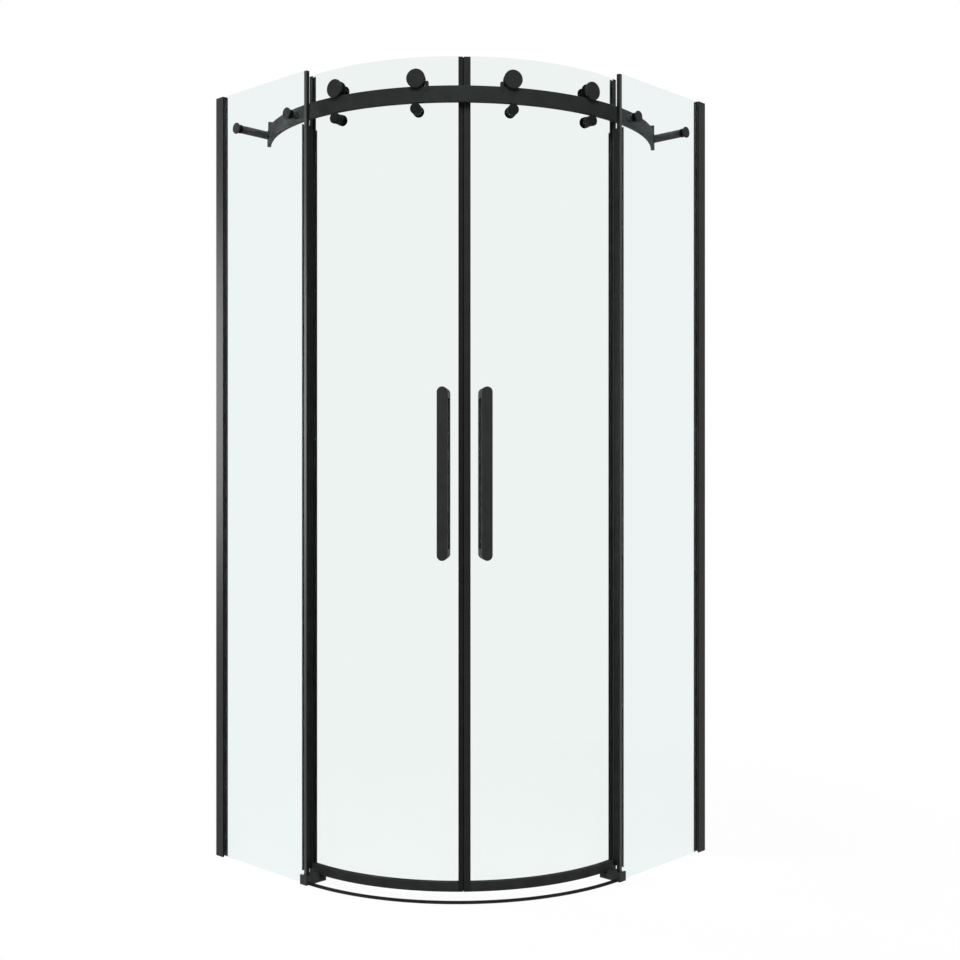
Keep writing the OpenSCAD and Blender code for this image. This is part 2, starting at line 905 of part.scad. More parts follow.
module jamb_stile() {
    top = height - jamb_stile_drop;
    difference() {
        sector(stile_in, stile_out, jamb_stile_a, jamb_stile_end_a, door_z, top);
        sector(door_in, door_out, jamb_stile_a - past_a, door_glass_a, door_glass_z, top + past);
    }
}

module bottom_rail() {
    difference() {
        sector(stile_in, stile_out, stile_far_a, jamb_stile_a, door_z, bottom_rail_top);
        sector(
            door_in, door_out,
            stile_far_a - past_a, jamb_stile_a + past_a,
            door_glass_z, bottom_rail_top + past
        );
    }
}

// The seal wraps the jamb stile, and its fin reaches out towards the fixed glass
module wing_seal() {
    z1 = bottom_rail_top - seal_low;
    z2 = rail_z - seal_high;
    lip_a = jamb_stile_a - arc_deg(seal_lip, door_mid);
    end_a = jamb_stile_end_a + arc_deg(seal_t, door_mid);
    fin_a = jamb_stile_a + arc_deg(fin_t, door_mid);
    fin_out = (corner_r - glass_v2) - fin_gap;
    sector(stile_in - seal_t, stile_in, lip_a, end_a, z1, z2 - seal_lip_drop);
    sector(stile_in - seal_t, stile_out + seal_t, jamb_stile_end_a, end_a, z1, z2);
    sector(stile_out, stile_out + seal_t, jamb_stile_a, end_a, z1, z2);
    sector(stile_out, fin_out, jamb_stile_a, fin_a, z1, z2);
}

// A bar with round ends, along X from the middle of the handle
module handle_bar(from, to) {
    straight = handle_l / 2 - handle_w / 2;
    translate([0, 0, from])
        linear_extrude(to - from)
            union() {
                translate([-straight, -handle_w / 2])
                    square([2 * straight, handle_w]);
                for (x = [-straight, straight])
                    translate([x, 0])
                        circle(d = handle_w, $fn = disc_fn);
            }
}

module handle_studs_at(from, to, d) {
    for (z = handle_stud_z)
        radial(handle_a, z)
            disc(from, to, d);
}

module handle_outer() {
    seat = door_out + handle_gasket_t;
    straight = handle_l - 2 * handle_post;
    difference() {
        radial(handle_a, handle_mid)
            difference() {
                handle_bar(seat, handle_out_in + handle_t);
                translate([-straight / 2, -handle_w, seat - past])
                    cube([straight, 2 * handle_w, handle_out_in - seat + past]);
            }
        handle_studs_at(seat - past, door_out + handle_stud_depth, handle_stud_d);
    }
}

module handle_inner() {
    seat = door_in - handle_gasket_t;
    straight = handle_l - 2 * handle_post;
    difference() {
        radial(handle_a, handle_mid)
            difference() {
                handle_bar(handle_in_out - handle_t, seat);
                translate([-straight / 2, -handle_w, handle_in_out])
                    cube([straight, 2 * handle_w, seat - handle_in_out + past]);
            }
        handle_studs_at(door_in - handle_stud_depth, seat + past, handle_stud_d);
    }
}

module handle_studs() {
    handle_studs_at(door_in - handle_stud_depth, door_out + handle_stud_depth, handle_stud_d);
}

// Washers at both faces of the glass, shaped to its curve, with a sleeve in the hole
module handle_gaskets() {
    seat_in = door_in - handle_gasket_t;
    seat_out = door_out + handle_gasket_t;
    difference() {
        union() {
            difference() {
                handle_studs_at(seat_in, seat_out, handle_gasket_d);
                sector(door_in, door_out, 0, 2 * handle_a, handle_z, handle_z + handle_l);
            }
            handle_studs_at(seat_in, seat_out, handle_hole_d);
        }
        handle_studs_at(seat_in - past, seat_out + past, handle_stud_d);
    }
}

// Rollers, drawn for the right side

module rollers() {
    for (a = roller_angles)
        radial(a, wheel_z)
            children();
}

module guards() {
    for (a = roller_angles)
        radial(a, guard_z)
            children();
}

// The thread passes the glass, the flange lies on its gasket, and the journal carries the bearing
module roller_axles() {
    nut_in = inner_nut_out - inner_nut_t;
    rollers() {
        disc(nut_in + blind_face_t, axle_flange_in, axle_thread_d);
        disc(axle_flange_in, axle_flange_in + axle_flange_t, axle_flange_d);
        disc(axle_flange_in, roller_cap_out - blind_face_t, axle_d);
    }
}

module roller_caps() {
    rollers()
        difference() {
            rounded_disc(roller_cap_in, roller_cap_out, roller_cap_d, disc_edge);
            disc(roller_cap_in - past, roller_cap_out - blind_face_t, axle_d);
        }
}

module roller_nuts() {
    nut_in = inner_nut_out - inner_nut_t;
    rollers()
        difference() {
            rounded_disc_in(nut_in, inner_nut_out, inner_nut_d, disc_edge);
            disc(nut_in + blind_face_t, inner_nut_out + past, axle_thread_d);
        }
}

// A gasket on both faces of the curved glass, joined by a sleeve in the hole
module glass_grommet(hole_d, stud_d) {
    difference() {
        union() {
            difference() {
                disc(inner_nut_out, axle_flange_in, grommet_d);
                children();
            }
            disc(inner_nut_out, axle_flange_in, hole_d);
        }
        disc(inner_nut_out - past, axle_flange_in + past, stud_d);
    }
}

// The door glass as seen from a hole at an angle, for cutting the gaskets to its curve
module glass_curve() {
    rotate([0, -90, 0])
        difference() {
            cylinder(r = door_out, h = 2 * grommet_d, center = true, $fn = arc_fn);
            cylinder(r = door_in, h = 2 * grommet_d + past, center = true, $fn = arc_fn);
        }
}

module roller_grommets() {
    rollers()
        glass_grommet(roller_hole_d, axle_thread_d)
            glass_curve();
    guards()
        glass_grommet(guard_hole_d, guard_stud_d)
            glass_curve();
}

// A fixed barrel under the rail that keeps the door from being lifted off
module antilift_guards() {
    nut_in = inner_nut_out - guard_nut_t;
    guards() {
        rounded_disc_in(nut_in, inner_nut_out, guard_nut_d, disc_edge);
        disc(inner_nut_out, axle_flange_in, guard_stud_d);
        disc(axle_flange_in, guard_cap_in, 2 * guard_r);
        rounded_disc(guard_cap_in, guard_cap_in + guard_cap_t, guard_cap_d, disc_edge);
    }
}

// A grooved wheel with a seat for its bearing, open to the outside
module wheel() {
    difference() {
        union() {
            disc(hub_in, wheel_in, 2 * hub_r);
            disc(wheel_in, tread_in, 2 * wheel_flange_r);
            disc(tread_in, tread_out, 2 * tread_r);
            disc(tread_out, wheel_out, 2 * wheel_flange_r);
        }
        disc(hub_in - past, wheel_out + past, axle_d + 2 * hub_bore_gap);
        disc(bearing_in, wheel_out + past, bearing_d);
        disc(bearing_in - bearing_relief, wheel_out, bearing_d - 2 * bearing_seat);
    }
}

// Two rings with the balls' cage between them
module bearing() {
    bore_d = axle_d + 2 * axle_fit;
    depth = past + bearing_recess;
    difference() {
        disc(bearing_in, bearing_out, bearing_d);
        disc(bearing_in - past, bearing_out + past, bore_d);
        for (z = [bearing_in - past, bearing_out - bearing_recess])
            difference() {
                disc(z, z + depth, bearing_d - 2 * bearing_ring_t);
                disc(z - past, z + depth + past, bore_d + 2 * bearing_ring_t);
            }
    }
}

// Nodes of the doors

module door_glass_right() {
    color(clear_glass)
        right_front()
            door_glass(seam_right);
}

module door_glass_left() {
    color(clear_glass)
        left_front()
            door_glass(seam_left);
}

module centre_stile_right() {
    color(black_metal)
        right_front()
            centre_stile(seam_right);
}

module centre_stile_left() {
    color(black_metal)
        left_front()
            centre_stile(seam_left);
}

module jamb_stile_right() {
    color(black_metal)
        right_front()
            jamb_stile();
}

module jamb_stile_left() {
    color(black_metal)
        left_front()
            jamb_stile();
}

module bottom_rail_right() {
    color(black_metal)
        right_front()
            bottom_rail();
}

module bottom_rail_left() {
    color(black_metal)
        left_front()
            bottom_rail();
}

module magnet_strip_right() {
    color(black_rubber)
        right_front()
            magnet_strip(seam_right);
}

module magnet_strip_left() {
    color(black_rubber)
        left_front()
            magnet_strip(seam_left);
}

module wing_seal_right() {
    color(black_rubber)
        right_front()
            wing_seal();
}

module wing_seal_left() {
    color(black_rubber)
        left_front()
            wing_seal();
}

module handle_outer_right() {
    color(black_metal)
        right_front()
            handle_outer();
}

module handle_outer_left() {
    color(black_metal)
        left_front()
            handle_outer();
}

module handle_inner_right() {
    color(black_metal)
        right_front()
            handle_inner();
}

module handle_inner_left() {
    color(black_metal)
        left_front()
            handle_inner();
}

module handle_studs_right() {
    color(bearing_steel)
        right_front()
            handle_studs();
}

module handle_studs_left() {
    color(bearing_steel)
        left_front()
            handle_studs();
}

module handle_gaskets_right() {
    color(black_rubber)
        right_front()
            handle_gaskets();
}

module handle_gaskets_left() {
    color(black_rubber)
        left_front()
            handle_gaskets();
}

module roller_axles_right() {
    color(bearing_steel)
        right_front()
            roller_axles();
}

module roller_axles_left() {
    color(bearing_steel)
        left_front()
            roller_axles();
}

module roller_caps_right() {
    color(black_metal)
        right_front()
            roller_caps();
}

module roller_caps_left() {
    color(black_metal)
        left_front()
            roller_caps();
}

module roller_nuts_right() {
    color(black_metal)
        right_front()
            roller_nuts();
}

module roller_nuts_left() {
    color(black_metal)
        left_front()
            roller_nuts();
}

module roller_grommets_right() {
    color(black_rubber)
        right_front()
            roller_grommets();
}

module roller_grommets_left() {
    color(black_rubber)
        left_front()
            roller_grommets();
}

module antilift_guards_right() {
    color(black_metal)
        right_front()
            antilift_guards();
}

module antilift_guards_left() {
    color(black_metal)
        left_front()
            antilift_guards();
}

module wheel_right_inner() {
    color(black_nylon)
        right_front()
            radial(roller_in_a, wheel_z)
                wheel();
}

module wheel_right_outer() {
    color(black_nylon)
        right_front()
            radial(roller_out_a, wheel_z)
                wheel();
}

module wheel_left_inner() {
    color(black_nylon)
        left_front()
            radial(roller_in_a, wheel_z)
                wheel();
}

module wheel_left_outer() {
    color(black_nylon)
        left_front()
            radial(roller_out_a, wheel_z)
                wheel();
}

module bearing_right_inner() {
    color(bearing_steel)
        right_front()
            radial(roller_in_a, wheel_z)
                bearing();
}

module bearing_right_outer() {
    color(bearing_steel)
        right_front()
            radial(roller_out_a, wheel_z)
                bearing();
}

module bearing_left_inner() {
    color(bearing_steel)
        left_front()
            radial(roller_in_a, wheel_z)
                bearing();
}

module bearing_left_outer() {
    color(bearing_steel)
        left_front()
            radial(roller_out_a, wheel_z)
                bearing();
}

wall_channel_right();
wall_channel_left();
wall_channel_caps();
channel_gaskets();
fixed_glass_right();
fixed_glass_left();
jamb_profile_right();
jamb_profile_left();
jamb_caps();
foot_block_right();
foot_block_left();
door_guides();
threshold_strip();
curved_rail();
short_rail_holders();
long_rail_holders();
holder_caps();
holder_gaskets();
rail_screws();
rail_stops();
stop_screws();
door_glass_right();
centre_stile_right();
jamb_stile_right();
bottom_rail_right();
magnet_strip_right();
wing_seal_right();
handle_outer_right();
handle_inner_right();
handle_studs_right();
handle_gaskets_right();
roller_axles_right();
roller_caps_right();
roller_nuts_right();
roller_grommets_right();
antilift_guards_right();
door_glass_left();
centre_stile_left();
jamb_stile_left();
bottom_rail_left();
magnet_strip_left();
wing_seal_left();
handle_outer_left();
handle_inner_left();
handle_studs_left();
handle_gaskets_left();
roller_axles_left();
roller_caps_left();
roller_nuts_left();
roller_grommets_left();
antilift_guards_left();
wheel_right_inner();
wheel_right_outer();
wheel_left_inner();
wheel_left_outer();
bearing_right_inner();
bearing_right_outer();
bearing_left_inner();
bearing_left_outer();
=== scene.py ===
"""Looks of the corner shower enclosure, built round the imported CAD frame.

All shapes are written in millimetres in the frames of the part's source, and turned into metres when a
piece is made. X and Y of a panel frame run from the wall and inwards; a front frame turns about the centre
of the curve, with angle 0 on the diagonal of the corner.
"""

import json
import math

import bmesh
import bpy
from mathutils import Matrix, Vector
from mathutils.geometry import tessellate_polygon


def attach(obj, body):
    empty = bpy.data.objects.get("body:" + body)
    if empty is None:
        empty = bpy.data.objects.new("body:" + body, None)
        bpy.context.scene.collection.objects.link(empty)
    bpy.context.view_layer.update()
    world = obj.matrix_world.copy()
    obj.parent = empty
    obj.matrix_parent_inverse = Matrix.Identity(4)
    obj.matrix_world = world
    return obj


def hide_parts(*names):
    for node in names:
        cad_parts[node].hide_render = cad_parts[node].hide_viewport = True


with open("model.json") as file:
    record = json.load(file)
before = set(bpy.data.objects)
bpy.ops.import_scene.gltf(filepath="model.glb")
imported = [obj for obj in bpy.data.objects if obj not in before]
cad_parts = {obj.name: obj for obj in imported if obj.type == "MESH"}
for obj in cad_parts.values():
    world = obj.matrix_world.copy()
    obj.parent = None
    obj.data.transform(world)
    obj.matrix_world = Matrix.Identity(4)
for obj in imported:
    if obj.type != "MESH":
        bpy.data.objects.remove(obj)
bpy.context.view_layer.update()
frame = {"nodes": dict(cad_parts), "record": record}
nodes = frame["nodes"]
body_of = {n: b for b, members in frame["record"]["behaviour"]["bodies"].items() for n in members}
scene = bpy.context.scene

# Camera, fitted to the photograph

HEADING = math.radians(43.06)
camera = bpy.data.objects.new("camera", bpy.data.cameras.new("camera"))
scene.collection.objects.link(camera)
camera.location = (-2.4235, -2.3542, 0.9888)
camera.rotation_euler = (math.pi / 2, 0, HEADING - math.pi / 2)
camera.data.sensor_width = 36
camera.data.lens = 48.84
camera.data.shift_x = -0.0077
camera.data.shift_y = -0.0088
scene.camera = camera
scene.view_settings.view_transform = "Standard"

# Sizes shared with the source, in millimetres and degrees

WALL, OUTER_FACE, CURVE_CENTRE = 450, 447, 93
HEIGHT = 1950
GLASS_T = 6
FIXED_GLASS_Z = 2
GLASS_U1, GLASS_U2 = 12, 361
GLASS_V1, GLASS_V2 = 4.5, 10.5
CHANNEL_W, CHANNEL_TOP = 30, 1946
GASKET_BASE = 3
JAMB_END = 363
DOOR_IN, DOOR_OUT = 491, 497
DOOR_MID = (DOOR_IN + DOOR_OUT) / 2
DOOR_Z, DOOR_GLASS_Z, BOTTOM_TOP = 17.3, 21, 40
STILE_IN, STILE_OUT = 488, 500
STILE_WEB, STILE_FAR, STILE_DROP = 5.5, 14, 2
SEAM = {"right": -1.9, "left": 3.4}
MAGNET_IN, MAGNET_OUT = 490, 498
MAGNET_DEPTH, MAGNET_END = 3.5, 1.5
JAMB_STILE_A, JAMB_STILE_W, JAMB_STILE_END = 47.2, 10.35, 1.5
SEAL_LIP = 5.2
RAIL_IN, RAIL_OUT = 506, 516
RAIL_Z, RAIL_TOP = 1839, 1877
RAIL_A = 81.3
RAIL_SEAT, SHANK_R, HEAD_R = 5, 2.6, 4.75
HOLDER_Z, HOLDER_HOLE = 1858, 12
HOLDER_ANGLES = (52.3, 76.3557)
ROLLER_ANGLES = (12.5, 36)
WHEEL_Z, ROLLER_HOLE = 1894, 16
GUARD_Z, GUARD_HOLE = 1824.5, 14
HANDLE_A, STUD_HOLE = 5.62, 10
STUD_HEIGHTS = (796.5, 1171.5)
THRESHOLD_IN, THRESHOLD_OUT = 524, 534
RIDGE_IN, RIDGE_OUT = 527, 531
THRESHOLD_LIP, THRESHOLD_BASE, THRESHOLD_H = 1.5, 3, 6

# Sizes that only the scene has, in millimetres and degrees

ARC_STEP = 1.2
GLASS_EDGE, GLASS_CORNER = 0.7, 1.5
RAIL_ROUND, RAIL_END = 1.2, 1.0
BOTTOM_ROUND, THRESHOLD_ROUND = 0.8, 0.4
THRESHOLD_A = 43.84
CHANNEL_EDGE, JAMB_SHADE_WIDTH = 0.4, 1.6
RUBBER_V1, RUBBER_V2 = 2.6, 12.4
RUBBER_EDGE, RUBBER_BACK = 0.3, 0.2
TOP_RUBBER_T, TOP_RUBBER_BACK = 2, 0.1
MAGNET_PROUD, MAGNET_ROUND = 0.74, 0.6
SEEN_LIP, LIP_TIP_A = 2.7, 0.08
DISC_R, DISC_T, DISC_ROUND = 14, 3, 1.5
DISC_BACK, DISC_CHAMFER = 0.6, 0.5
STUD_R, STUD_END = 4, 20
COLLAR_R, COLLAR_END, SLEEVE_R = 11, 11.5, 5.9


def degrees_of(length, radius):
    """The angle that a length takes up on an arc."""
    return math.degrees(length / radius)


def holder_u(angle):
    """How far from the wall a holder stands that meets the rail at an angle."""
    return WALL - CURVE_CENTRE - RAIL_OUT * math.sin(math.radians(angle - 45))


def holder_v(angle):
    """How far inwards from the panel's outer face such a holder meets the rail."""
    return OUTER_FACE + CURVE_CENTRE - RAIL_OUT * math.cos(math.radians(angle - 45))


# Frames of reference

MM = Matrix.Scale(0.001, 4)


def turn(degrees, axis="Z"):
    return Matrix.Rotation(math.radians(degrees), 4, axis)


def shift(x, y, z):
    return Matrix.Translation((x, y, z))


def across(u, z):
    """Z runs inwards across a panel."""
    return shift(u, 0, z) @ turn(-90, "X")


RIGHT_PANEL = shift(WALL, -OUTER_FACE, 0) @ Matrix.Scale(-1, 4, (1, 0, 0))
LEFT_PANEL = Matrix(((0, 1, 0, -OUTER_FACE), (-1, 0, 0, WALL), (0, 0, 1, 0), (0, 0, 0, 1)))
RIGHT_FRONT = shift(CURVE_CENTRE, CURVE_CENTRE, 0) @ turn(-135)
LEFT_FRONT = RIGHT_FRONT @ Matrix.Scale(-1, 4, (0, 1, 0))
PANELS = {"right": RIGHT_PANEL, "left": LEFT_PANEL}
FRONTS = {"right": RIGHT_FRONT, "left": LEFT_FRONT}

# Shapes, each a list of vertices and a list of faces


def rectangle(x1, y1, x2, y2):
    return [(x1, y1), (x2, y1), (x2, y2), (x1, y2)]


def hole(x, y, diameter, count=48):
    """A round hole's outline, clockwise."""
    radius = diameter / 2
    outline = [
        (x + radius * math.cos(2 * math.pi * i / count), y + radius * math.sin(2 * math.pi * i / count))
        for i in range(count)
    ]
    return outline[::-1]


def inset(loop, distance):
    """Every corner moved to its left by a distance, with mitred corners that are kept from growing long."""
    least_spread = 0.3
    out = []
    n = len(loop)
    for i, (x, y) in enumerate(loop):
        before = Vector((x - loop[i - 1][0], y - loop[i - 1][1])).normalized()
        after = Vector((loop[(i + 1) % n][0] - x, loop[(i + 1) % n][1] - y)).normalized()
        normal = Vector((-before.y - after.y, before.x + after.x))
        normal *= distance / max(least_spread, 1 + before.dot(after))
        out.append((x + normal.x, y + normal.y))
    return out


def rounded(loop, radius, steps=3):
    """The loop with every sharp corner replaced by an arc. Blunt corners, as a curve has them, stay."""
    blunt = math.radians(165)
    most_of_side = 0.45
    out = []
    n = len(loop)
    for i, point in enumerate(loop):
        p = Vector(point)
        a = Vector(loop[i - 1]) - p
        b = Vector(loop[(i + 1) % n]) - p
        angle = a.angle(b)
        if angle > blunt:
            out.append(point)
            continue
        r = min(radius, most_of_side * min(a.length, b.length) * math.tan(angle / 2))
        reach = r / math.tan(angle / 2)
        start = p + a.normalized() * reach
        end = p + b.normalized() * reach
        middle = p + (a.normalized() + b.normalized()).normalized() * (r / math.sin(angle / 2))
        first = (start - middle).to_3d()
        last = (end - middle).to_3d()
        total = first.angle(last)
        axis = first.cross(last).normalized()
        for k in range(steps + 1):
            out.append(tuple((middle.to_3d() + Matrix.Rotation(total * k / steps, 3, axis) @ first)[:2]))
    return out


def edge_rings(edge, steps):
    """(inset, depth) pairs of a rounded edge, from the face to the side."""
    if edge == 0:
        return [(0, 0)]
    return [
        (edge * (1 - math.sin(math.pi / 2 * k / steps)), edge * (1 - math.cos(math.pi / 2 * k / steps)))
        for k in range(steps + 1)
    ]


def skin(loops):
    """Quads between each loop of vertices and the next, all of the same count, plus the vertices."""
    n = len(loops[0])
    verts = [v for loop in loops for v in loop]
    faces = []
    for j in range(len(loops) - 1):
        for i in range(n):
            k = (i + 1) % n
            faces.append((j * n + i, j * n + k, (j + 1) * n + k, (j + 1) * n + i))
    return verts, faces


def cap(loops, up):
    """Triangles that fill a flat outline with holes, facing up or down in its own plane."""
    points = [p for loop in loops for p in loop]
    out = []
    for a, b, c in tessellate_polygon([[Vector((x, y, 0)) for x, y in loop] for loop in loops]):
        ax, ay = points[a]
        bx, by = points[b]
        cx, cy = points[c]
        area = (bx - ax) * (cy - ay) - (by - ay) * (cx - ax)
        if abs(area) > 1e-9:
            out.append((a, b, c) if (area > 0) == up else (c, b, a))
    return out


def plate(outline, z1, z2, holes=(), edge=0.5, steps=2):
    """A plate between two heights: the outline runs anticlockwise and the holes clockwise."""
    loops = [outline, *holes]
    bottom = edge_rings(edge, steps)
    levels = [(d, z1 + h) for d, h in bottom] + [(d, z2 - h) for d, h in reversed(bottom)]
    verts, faces, first, last = [], [], [], []
    for loop in loops:
        v, f = skin([[(x, y, z) for x, y in inset(loop, d)] for d, z in levels])
        base = len(verts)
        faces += [tuple(base + i for i in face) for face in f]
        first += list(range(base, base + len(loop)))
        last += list(range(base + len(v) - len(loop), base + len(v)))
        verts += v
    flat = [inset(loop, levels[0][0]) for loop in loops]
    faces += [tuple(first[i] for i in t) for t in cap(flat, False)]
    faces += [tuple(last[i] for i in t) for t in cap(flat, True)]
    return verts, faces


def sweep(profile, a1, a2, step=1.0, edge=0.4, steps=2):
    """A profile in (radius, height), anticlockwise, turned about the vertical axis, with closed ends."""
    middle = sum(r for r, z in profile) / len(profile)
    start = [(d, a1 + degrees_of(h, middle)) for d, h in edge_rings(edge, steps)]
    end = [(d, a2 - degrees_of(h, middle)) for d, h in reversed(edge_rings(edge, steps))]
    count = max(1, round((a2 - a1) / step))
    between = [(0, a1 + (a2 - a1) * k / count) for k in range(1, count)]
    loops = []
    for d, a in start + between + end:
        c, s = math.cos(math.radians(a)), math.sin(math.radians(a))
        loops.append([(r * c, r * s, z) for r, z in inset(profile, d)])
    verts, faces = skin(loops)
    faces = [face[::-1] for face in faces]
    n = len(profile)
    flat = inset(profile, start[0][0])
    faces += cap([flat], True)
    faces += [tuple(len(verts) - n + i for i in t) for t in cap([flat], False)]
    return verts, faces


def lathe(profile, count=64):
    """A profile in (radius, height), anticlockwise, turned all round. Points on the axis close it."""
    loops = []
    for k in range(count):
        c, s = math.cos(2 * math.pi * k / count), math.sin(2 * math.pi * k / count)
        loops.append([(r * c, r * s, z) for r, z in profile])
    loops.append(loops[0])
    verts, faces = skin(loops)
    return verts, [face[::-1] for face in faces]


def moved(shape, matrix):
    """The shape put through a matrix. A mirrored one still has its faces outwards."""
    verts, faces = shape
    verts = [tuple(matrix @ Vector(v)) for v in verts]
    if matrix.determinant() < 0:
        faces = [face[::-1] for face in faces]
    return verts, faces


def wrapped(shape, radius, step=1.0):
    """A flat plate bent about the vertical axis.

    X becomes an angle, Y the height and Z the distance out from the radius.
    """
    bm = bmesh.new()
    vs = [bm.verts.new(v) for v in shape[0]]
    for face in shape[1]:
        bm.faces.new([vs[i] for i in face])
    low = min(v[0] for v in shape[0])
    high = max(v[0] for v in shape[0])
    width = math.radians(step) * DOOR_MID
    for k in range(math.floor(low / width) + 1, math.ceil(high / width)):
        bmesh.ops.bisect_plane(
            bm, geom=bm.verts[:] + bm.edges[:] + bm.faces[:], dist=1e-5,
            plane_co=(k * width, 0, 0), plane_no=(1, 0, 0),
        )
    verts = []
    for i, v in enumerate(bm.verts):
        v.index = i
        a = v.co.x / DOOR_MID
        r = radius + v.co.z
        verts.append((r * math.cos(a), r * math.sin(a), v.co.y))
    faces = [tuple(v.index for v in f.verts) for f in bm.faces]
    bm.free()
    return verts, faces


def merge_close(mesh, distance):
    """Joins vertices that lie closer than a distance, in metres."""
    bm = bmesh.new()
    bm.from_mesh(mesh)
    bmesh.ops.remove_doubles(bm, verts=bm.verts[:], dist=distance)
    bm.to_mesh(mesh)
    bm.free()


def mesh_of(name, shapes):
    """One mesh of shapes in millimetres."""
    verts, faces = [], []
    for shape in shapes:
        v, f = moved(shape, MM)
        faces += [tuple(len(verts) + i for i in face) for face in f]
        verts += v
    mesh = bpy.data.meshes.new(name)
    mesh.from_pydata(verts, [], faces)
    return mesh


SHARP, EASED_SHARP = 40, 50


def shade(mesh, sharp):
    """Smooth shading, but for edges over an angle in degrees."""
    mesh.shade_smooth()
    mesh.set_sharp_from_angle(angle=math.radians(sharp))


def even_shading(obj):
    """Large faces lead the shading of the small ones at their edges."""
    weighted = obj.modifiers.new("even_shading", "WEIGHTED_NORMAL")
    weighted.keep_sharp = True


def piece(name, shapes, node, material):
    """Makes one object of shapes in millimetres, which stands for a CAD node."""
    return finish_piece(name, mesh_of(name, shapes), [node], material, SHARP)


def finish_piece(name, mesh, like, material, sharp):
    """The object takes the body of the first CAD node that it stands for, and the nodes are hidden."""
    merge_close(mesh, 1e-6)
    shade(mesh, sharp)
    mesh.materials.clear()
    mesh.materials.append(material)
    obj = bpy.data.objects.new(name, mesh)
    scene.collection.objects.link(obj)
    even_shading(obj)
    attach(obj, body_of[like[0]])
    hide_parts(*like)
    return obj


def eased(node, material, edge=0.4, steps=2):
    """The node's own form, its hard edges broken by a small radius as on a machined or moulded part."""
    flat, hard = math.radians(0.3), math.radians(32)
    bm = bmesh.new()
    bm.from_mesh(nodes[node].data)
    bmesh.ops.remove_doubles(bm, verts=bm.verts[:], dist=2e-6)
    bmesh.ops.dissolve_limit(
        bm, angle_limit=flat, verts=bm.verts[:], edges=bm.edges[:], delimit={"NORMAL"}
    )
    if edge:
        bmesh.ops.bevel(
            bm,
            geom=[e for e in bm.edges if len(e.link_faces) == 2 and e.calc_face_angle(0) > hard],
            offset=edge / 1000, segments=steps, profile=0.5, affect="EDGES", clamp_overlap=True,
        )
    mesh = bpy.data.meshes.new(f"{node}_piece")
    bm.to_mesh(mesh)
    bm.free()
    return finish_piece(f"{node}_piece", mesh, [node], material, EASED_SHARP)


# Materials


class Nodes:
    """A material's node tree, with short ways to add to it."""

    def __init__(self, name):
        self.material = bpy.data.materials.new(name)
        self.material.use_nodes = True
        self.tree = self.material.node_tree
        self.tree.nodes.clear()
        output = self.add("ShaderNodeOutputMaterial")
        self.shader = self.add("ShaderNodeBsdfPrincipled")
        self.link(self.shader.outputs[0], output.inputs["Surface"])
        self.coords = self.add("ShaderNodeTexCoord")

    @classmethod
    def of(cls, material):
        """The same short ways for a material that exists."""
        n = cls.__new__(cls)
        n.material = material
        n.tree = material.node_tree
        n.shader = next(node for node in n.tree.nodes if node.type == "BSDF_PRINCIPLED")
        n.coords = next(node for node in n.tree.nodes if node.type == "TEX_COORD")
        return n

    def math(self, operation, a, b):
        node = self.add("ShaderNodeMath", operation=operation)
        for socket, value in zip(node.inputs, (a, b)):
            if isinstance(value, (int, float)):
                socket.default_value = value
            else:
                self.link(value, socket)
        return node.outputs[0]

    def mix_into(self, socket_name, factor, value):
        """Where the factor is 1, the shader's input takes the value."""
        socket = self.shader.inputs[socket_name]
        kind = socket.type
        mix = self.add("ShaderNodeMix", data_type="RGBA" if kind == "RGBA" else "FLOAT")
        a, b = [i for i in mix.inputs if i.name in ("A", "B") and i.type == kind]
        if socket.is_linked:
            self.link(socket.links[0].from_socket, a)
        else:
            a.default_value = socket.default_value
        b.default_value = value
        self.link(factor, mix.inputs["Factor"])
        out = next(o for o in mix.outputs if o.type == kind)
        self.link(out, socket)

    def add(self, kind, **values):
        node = self.tree.nodes.new(kind)
        for key, value in values.items():
            setattr(node, key, value)
        return node

    def link(self, a, b):
        self.tree.links.new(a, b)

    def noise(self, scale, detail=3, stretch=None):
        """Noise in the object's own metres; stretch scales each axis first."""
        node = self.add("ShaderNodeTexNoise")
        node.inputs["Scale"].default_value = scale
        node.inputs["Detail"].default_value = detail
        source = self.coords.outputs["Object"]
        if stretch:
            mapping = self.add("ShaderNodeMapping")
            mapping.inputs["Scale"].default_value = stretch
            self.link(source, mapping.inputs["Vector"])
            source = mapping.outputs["Vector"]
        self.link(source, node.inputs["Vector"])
        return node.outputs["Fac"]

    def spread(self, value, low, high):
        """The middle of a noise value, spread to a range."""
        node = self.add("ShaderNodeMapRange")
        node.inputs["From Min"].default_value = 0.3
        node.inputs["From Max"].default_value = 0.7
        node.inputs["To Min"].default_value = low
        node.inputs["To Max"].default_value = high
        self.link(value, node.inputs["Value"])
        return node.outputs["Result"]

    def colour(self, value, dark, light):
        ramp = self.add("ShaderNodeValToRGB")
        ramp.color_ramp.elements[0].position = 0.35
        ramp.color_ramp.elements[0].color = (*dark, 1)
        ramp.color_ramp.elements[1].position = 0.65
        ramp.color_ramp.elements[1].color = (*light, 1)
        self.link(value, ramp.inputs["Fac"])
        self.link(ramp.outputs["Color"], self.shader.inputs["Base Color"])

    def bump(self, value, distance, strength=1.0, onto=None):
        node = self.add("ShaderNodeBump")
        node.inputs["Strength"].default_value = strength
        node.inputs["Distance"].default_value = distance
        self.link(value, node.inputs["Height"])
        if onto is not None:
            self.link(onto, node.inputs["Normal"])
        self.link(node.outputs["Normal"], self.shader.inputs["Normal"])
        return node.outputs["Normal"]


def tones(colour, variation):
    """A darker and a lighter tone of a colour."""
    return [tuple(c * (1 - variation) for c in colour), tuple(c * (1 + variation) for c in colour)]


